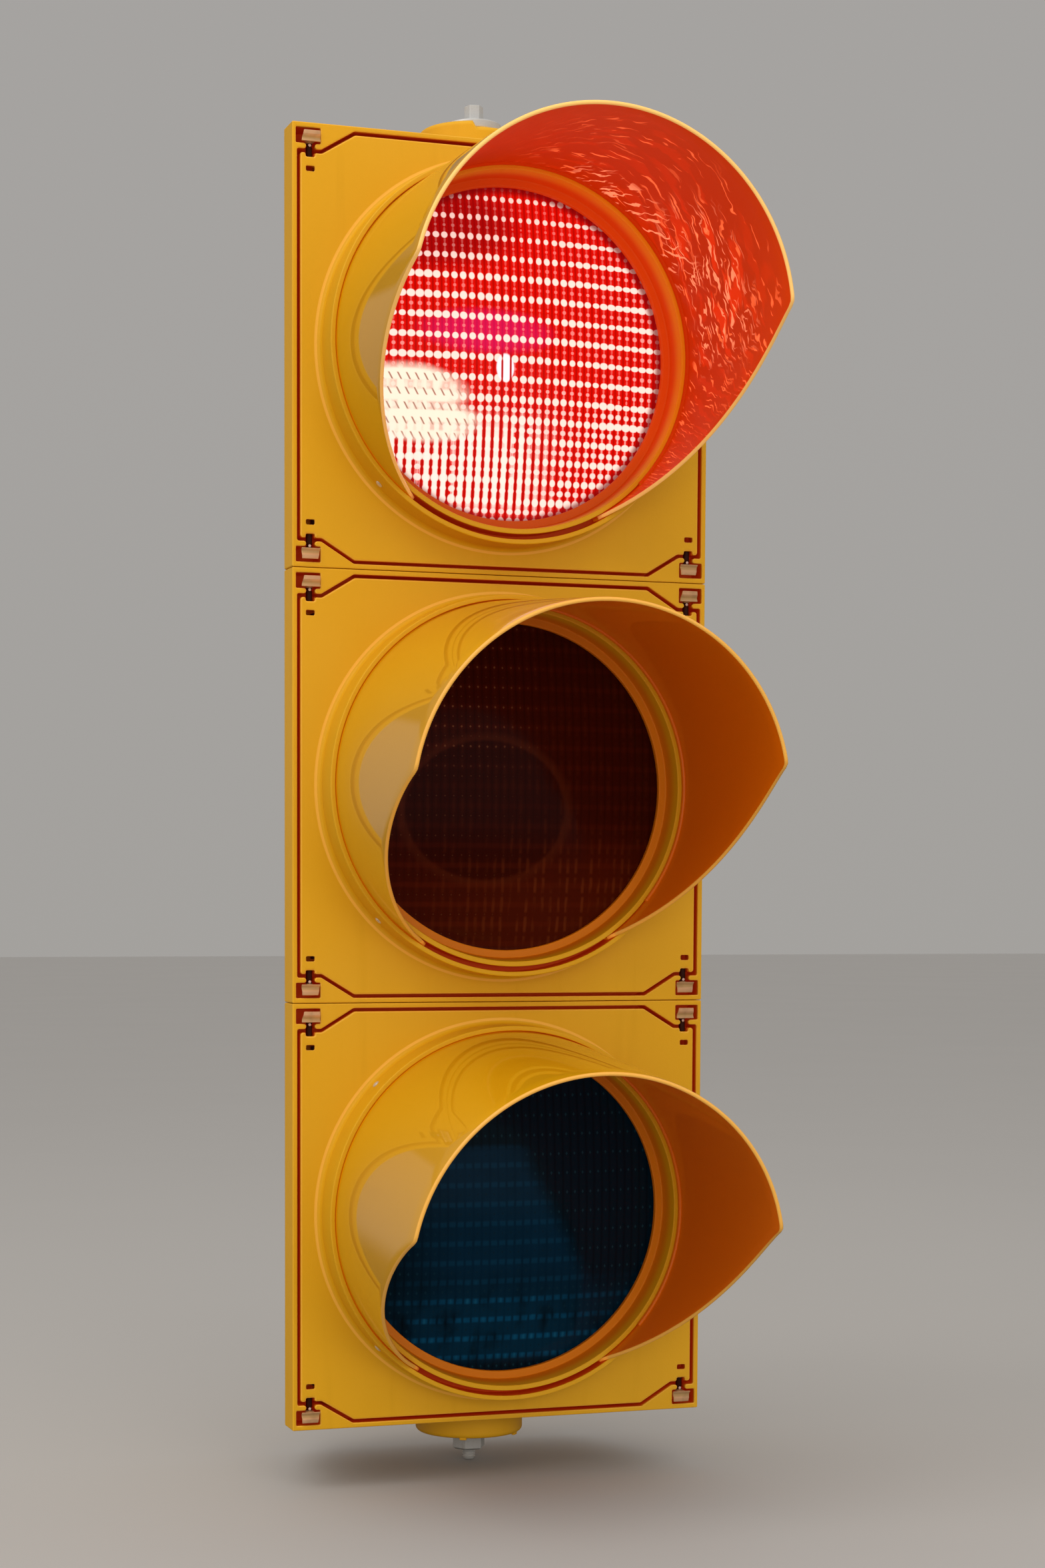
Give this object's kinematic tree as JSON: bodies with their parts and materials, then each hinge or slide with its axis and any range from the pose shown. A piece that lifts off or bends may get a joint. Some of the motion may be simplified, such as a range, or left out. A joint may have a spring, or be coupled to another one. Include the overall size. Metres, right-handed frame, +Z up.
{
  "type": "traffic signal head",
  "caption": "Vertical traffic signal head: red, amber and green sections, each with a hinged door, cutaway visor, prismatic lens, reflector, lamp and corner pin latches.",
  "frame": {"origin": "centre of the lower closure cap's outer face, on the vertical mounting axis that runs through both closure caps", "axes": "+Z up along the mounting axis, -Y out of the lenses towards the driver, +X to the right as seen by someone facing the lenses"},
  "size_m": [0.2588, 0.3055, 0.8339],
  "materials": {
    "yellow_polycarbonate": "fine matt grain",
    "glossy_yellow_polycarbonate": "smooth gloss",
    "red_lens": "prismatic, lit",
    "amber_lens": "prismatic, unlit",
    "green_lens": "prismatic, unlit",
    "black_rubber": "matt",
    "stainless_steel": "brushed",
    "zinc_plate": "satin plated",
    "bright_aluminium": "bright anodised",
    "lamp_glass": "clear",
    "white_ceramic": "glazed ceramic",
    "black_phenolic": "moulded",
    "cable_jacket": "satin"
  },
  "bodies": {
    "head": {"housing_green": "yellow_polycarbonate", "reflector_holder_green": "zinc_plate", "reflector_green": "bright_aluminium", "lamp_socket_green": "white_ceramic", "lamp_green": "lamp_glass", "housing_amber": "yellow_polycarbonate", "reflector_holder_amber": "zinc_plate", "reflector_amber": "bright_aluminium", "lamp_socket_amber": "white_ceramic", "lamp_amber": "lamp_glass", "housing_red": "yellow_polycarbonate", "reflector_holder_red": "zinc_plate", "reflector_red": "bright_aluminium", "lamp_socket_red": "white_ceramic", "lamp_red": "lamp_glass", "top_hub_cap": "yellow_polycarbonate", "top_washer": "zinc_plate", "top_bolt": "zinc_plate", "top_clamp_plate": "zinc_plate", "bottom_hub_cap": "yellow_polycarbonate", "bottom_nut": "zinc_plate", "bottom_stud": "zinc_plate", "bottom_clamp_plate": "zinc_plate", "lower_coupler": "zinc_plate", "lower_coupler_lock_ring": "zinc_plate", "upper_coupler": "zinc_plate", "upper_coupler_lock_ring": "zinc_plate", "terminal_block": "black_phenolic", "wiring_loom": "cable_jacket"},
    "door_green_body": {"door_green": "yellow_polycarbonate", "visor_green": "glossy_yellow_polycarbonate", "lens_green": "green_lens", "lens_gasket_green": "black_rubber", "lens_retainer_green": "zinc_plate", "door_gasket_green": "black_rubber"},
    "latch_green_top_left_body": {"latch_green_top_left": "stainless_steel"},
    "latch_green_top_right_body": {"latch_green_top_right": "stainless_steel"},
    "latch_green_bottom_left_body": {"latch_green_bottom_left": "stainless_steel"},
    "latch_green_bottom_right_body": {"latch_green_bottom_right": "stainless_steel"},
    "door_amber_body": {"door_amber": "yellow_polycarbonate", "visor_amber": "glossy_yellow_polycarbonate", "lens_amber": "amber_lens", "lens_gasket_amber": "black_rubber", "lens_retainer_amber": "zinc_plate", "door_gasket_amber": "black_rubber"},
    "latch_amber_top_left_body": {"latch_amber_top_left": "stainless_steel"},
    "latch_amber_top_right_body": {"latch_amber_top_right": "stainless_steel"},
    "latch_amber_bottom_left_body": {"latch_amber_bottom_left": "stainless_steel"},
    "latch_amber_bottom_right_body": {"latch_amber_bottom_right": "stainless_steel"},
    "door_red_body": {"door_red": "yellow_polycarbonate", "visor_red": "glossy_yellow_polycarbonate", "lens_red": "red_lens", "lens_gasket_red": "black_rubber", "lens_retainer_red": "zinc_plate", "door_gasket_red": "black_rubber"},
    "latch_red_top_left_body": {"latch_red_top_left": "stainless_steel"},
    "latch_red_top_right_body": {"latch_red_top_right": "stainless_steel"},
    "latch_red_bottom_left_body": {"latch_red_bottom_left": "stainless_steel"},
    "latch_red_bottom_right_body": {"latch_red_bottom_right": "stainless_steel"}
  },
  "joints": [
    {"name": "door_green_hinge", "type": "hinge", "parent": "head", "child": "door_green_body", "pos_m": [-0.11835, -0.0585, 0.14465], "axis": [0, 0, -1], "range_deg": [0, 90]},
    {"name": "latch_green_top_left_slide", "type": "slide", "parent": "head", "child": "latch_green_top_left_body", "axis": [0, 0, 1], "range_m": [0, 0.0046]},
    {"name": "latch_green_top_right_slide", "type": "slide", "parent": "head", "child": "latch_green_top_right_body", "axis": [0, 0, 1], "range_m": [0, 0.0046]},
    {"name": "latch_green_bottom_left_slide", "type": "slide", "parent": "head", "child": "latch_green_bottom_left_body", "axis": [0, 0, -1], "range_m": [0, 0.0046]},
    {"name": "latch_green_bottom_right_slide", "type": "slide", "parent": "head", "child": "latch_green_bottom_right_body", "axis": [0, 0, -1], "range_m": [0, 0.0046]},
    {"name": "door_amber_hinge", "type": "hinge", "parent": "head", "child": "door_amber_body", "pos_m": [-0.11835, -0.0585, 0.39865], "axis": [0, 0, -1], "range_deg": [0, 90]},
    {"name": "latch_amber_top_left_slide", "type": "slide", "parent": "head", "child": "latch_amber_top_left_body", "axis": [0, 0, 1], "range_m": [0, 0.0046]},
    {"name": "latch_amber_top_right_slide", "type": "slide", "parent": "head", "child": "latch_amber_top_right_body", "axis": [0, 0, 1], "range_m": [0, 0.0046]},
    {"name": "latch_amber_bottom_left_slide", "type": "slide", "parent": "head", "child": "latch_amber_bottom_left_body", "axis": [0, 0, -1], "range_m": [0, 0.0046]},
    {"name": "latch_amber_bottom_right_slide", "type": "slide", "parent": "head", "child": "latch_amber_bottom_right_body", "axis": [0, 0, -1], "range_m": [0, 0.0046]},
    {"name": "door_red_hinge", "type": "hinge", "parent": "head", "child": "door_red_body", "pos_m": [-0.11835, -0.0585, 0.65265], "axis": [0, 0, -1], "range_deg": [0, 90]},
    {"name": "latch_red_top_left_slide", "type": "slide", "parent": "head", "child": "latch_red_top_left_body", "axis": [0, 0, 1], "range_m": [0, 0.0046]},
    {"name": "latch_red_top_right_slide", "type": "slide", "parent": "head", "child": "latch_red_top_right_body", "axis": [0, 0, 1], "range_m": [0, 0.0046]},
    {"name": "latch_red_bottom_left_slide", "type": "slide", "parent": "head", "child": "latch_red_bottom_left_body", "axis": [0, 0, -1], "range_m": [0, 0.0046]},
    {"name": "latch_red_bottom_right_slide", "type": "slide", "parent": "head", "child": "latch_red_bottom_right_body", "axis": [0, 0, -1], "range_m": [0, 0.0046]}
  ]
}
